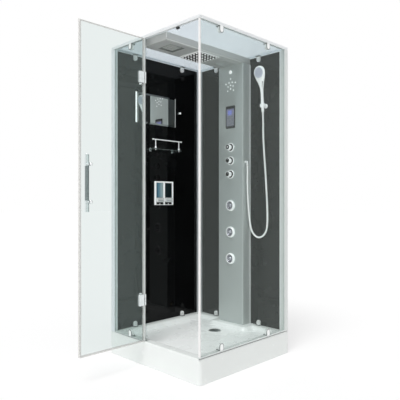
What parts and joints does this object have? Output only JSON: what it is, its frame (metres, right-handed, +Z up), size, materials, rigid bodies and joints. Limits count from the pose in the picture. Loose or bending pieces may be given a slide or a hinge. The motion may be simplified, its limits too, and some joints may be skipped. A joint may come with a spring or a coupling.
{
  "type": "steam shower cabin",
  "caption": "Square corner steam shower cabin with white tray, black glass walls, clear panes, hinged glass door, silver massage column, hand shower and rain shower.",
  "frame": {"origin": "underside of the middle foot, on the floor at the centre of the square plan", "axes": "+Z up; -Y out through the door; +X out through the whole fixed pane; the black glass walls are at -X and +Y"},
  "size_m": [0.9, 1.398, 2.2],
  "materials": {
    "acrylic": "glossy white",
    "galvanised": "galvanised",
    "aluminium": "satin anodised",
    "silver_paint": "satin silver",
    "housing_paint": "satin silver",
    "roof_acrylic": "translucent white",
    "black_glass": "back-painted, polished",
    "clear_glass": "clear, polished",
    "dark_seal": "matt",
    "clear_seal": "translucent",
    "chrome": "polished",
    "handle_chrome": "polished and satin",
    "handset_chrome": "polished with a grey spray face",
    "rain_metal": "polished with dark nozzles",
    "hose_silver": "silver, smooth",
    "mirror": "bevelled, polished",
    "display": "backlit",
    "bezel": "glossy",
    "black_plastic": "matt",
    "grille": "satin",
    "lamp_white": "diffusing",
    "brass": "machined",
    "trap_plastic": "matt",
    "dispenser": "chromed, with tinted windows"
  },
  "bodies": {
    "cabin": {"shower_tray": "acrylic", "base_frame": "galvanised", "levelling_feet": "galvanised", "drain_trap": "trap_plastic", "left_front_post": "aluminium", "rear_corner_post": "aluminium", "right_rear_post": "aluminium", "head_rails": "aluminium", "roof_panel": "roof_acrylic", "left_wall_glass": "black_glass", "rear_wall_glass": "black_glass", "front_fixed_pane": "clear_glass", "right_fixed_pane": "clear_glass", "pane_sills": "dark_seal", "pane_seals": "clear_seal", "glass_clips": "chrome", "door_stop": "black_plastic", "steam_column": "silver_paint", "column_back_plate": "galvanised", "ceiling_housing": "housing_paint", "rain_plate": "rain_metal", "ceiling_lamp": "lamp_white", "fan_grille": "grille", "fan_motor": "black_plastic", "column_lamp": "lamp_white", "loudspeaker": "black_plastic", "control_bezel": "bezel", "control_screen": "display", "control_box": "black_plastic", "water_valves": "brass", "knob_rings": "chrome", "jet_seats": "chrome", "water_pipes": "brass", "steam_generator": "galvanised", "steam_outlet": "chrome", "hose_outlet": "chrome", "shower_hose": "hose_silver", "handset_bracket": "chrome", "mirror": "mirror", "robe_hook": "chrome", "shelf_glass": "clear_glass", "shelf_rail": "chrome", "shelf_clamps": "chrome", "soap_dispenser": "dispenser", "hinge_pane_leaves": "chrome"},
    "door": {"door_glass": "clear_glass", "hinge_door_leaves": "chrome", "door_handle": "handle_chrome", "door_seals": "clear_seal"},
    "drain_lid": {"drain_cover": "chrome"},
    "fan": {"fan_rotor": "black_plastic"},
    "mixer": {"mixer_knob": "chrome"},
    "upper_diverter": {"upper_diverter_knob": "chrome"},
    "lower_diverter": {"lower_diverter_knob": "chrome"},
    "upper_jet": {"upper_jet_nozzle": "chrome"},
    "middle_jet": {"middle_jet_nozzle": "chrome"},
    "lower_jet": {"lower_jet_nozzle": "chrome"},
    "hand_shower": {"handset": "handset_chrome"},
    "front_lever": {"front_soap_lever": "dispenser"},
    "rear_lever": {"rear_soap_lever": "dispenser"}
  },
  "joints": [
    {"name": "door_swing", "type": "hinge", "parent": "cabin", "child": "door", "pos_m": [-0.068, -0.444, 0], "axis": [0, 0, 1], "range_deg": [0, 90]},
    {"name": "handset_lift", "type": "slide", "parent": "cabin", "child": "hand_shower", "axis": [0, -0.0698, 0.9976], "range_m": [0, 0.07]},
    {"name": "drain_cover_lift", "type": "slide", "parent": "cabin", "child": "drain_lid", "axis": [0, 0, 1], "range_m": [0, 0.03]},
    {"name": "fan_spin", "type": "hinge", "parent": "cabin", "child": "fan", "pos_m": [0, 0.27, 2.15], "axis": [0, 0, 1], "continuous": true},
    {"name": "mixer_turn", "type": "hinge", "parent": "cabin", "child": "mixer", "pos_m": [0, 0.338, 1.508], "axis": [0, -1, 0], "range_deg": [-90, 60]},
    {"name": "lower_diverter_turn", "type": "hinge", "parent": "cabin", "child": "lower_diverter", "pos_m": [0, 0.338, 1.301], "axis": [0, -1, 0], "range_deg": [-60, 60]},
    {"name": "upper_diverter_turn", "type": "hinge", "parent": "cabin", "child": "upper_diverter", "pos_m": [0, 0.338, 1.4045], "axis": [0, -1, 0], "range_deg": [-60, 60]},
    {"name": "lower_jet_tilt", "type": "hinge", "parent": "cabin", "child": "lower_jet", "pos_m": [0, 0.337, 0.652], "axis": [1, 0, 0], "range_deg": [-15, 15]},
    {"name": "middle_jet_tilt", "type": "hinge", "parent": "cabin", "child": "middle_jet", "pos_m": [0, 0.337, 0.856], "axis": [1, 0, 0], "range_deg": [-15, 15]},
    {"name": "upper_jet_tilt", "type": "hinge", "parent": "cabin", "child": "upper_jet", "pos_m": [0, 0.337, 1.06], "axis": [1, 0, 0], "range_deg": [-15, 15]},
    {"name": "front_lever_push", "type": "slide", "parent": "cabin", "child": "front_lever", "axis": [-1, 0, 0], "range_m": [0, 0.0078], "stiffness_N_per_m": 300, "springref_m": -0.003},
    {"name": "rear_lever_push", "type": "slide", "parent": "cabin", "child": "rear_lever", "axis": [-1, 0, 0], "range_m": [0, 0.0078], "stiffness_N_per_m": 300, "springref_m": -0.003}
  ]
}
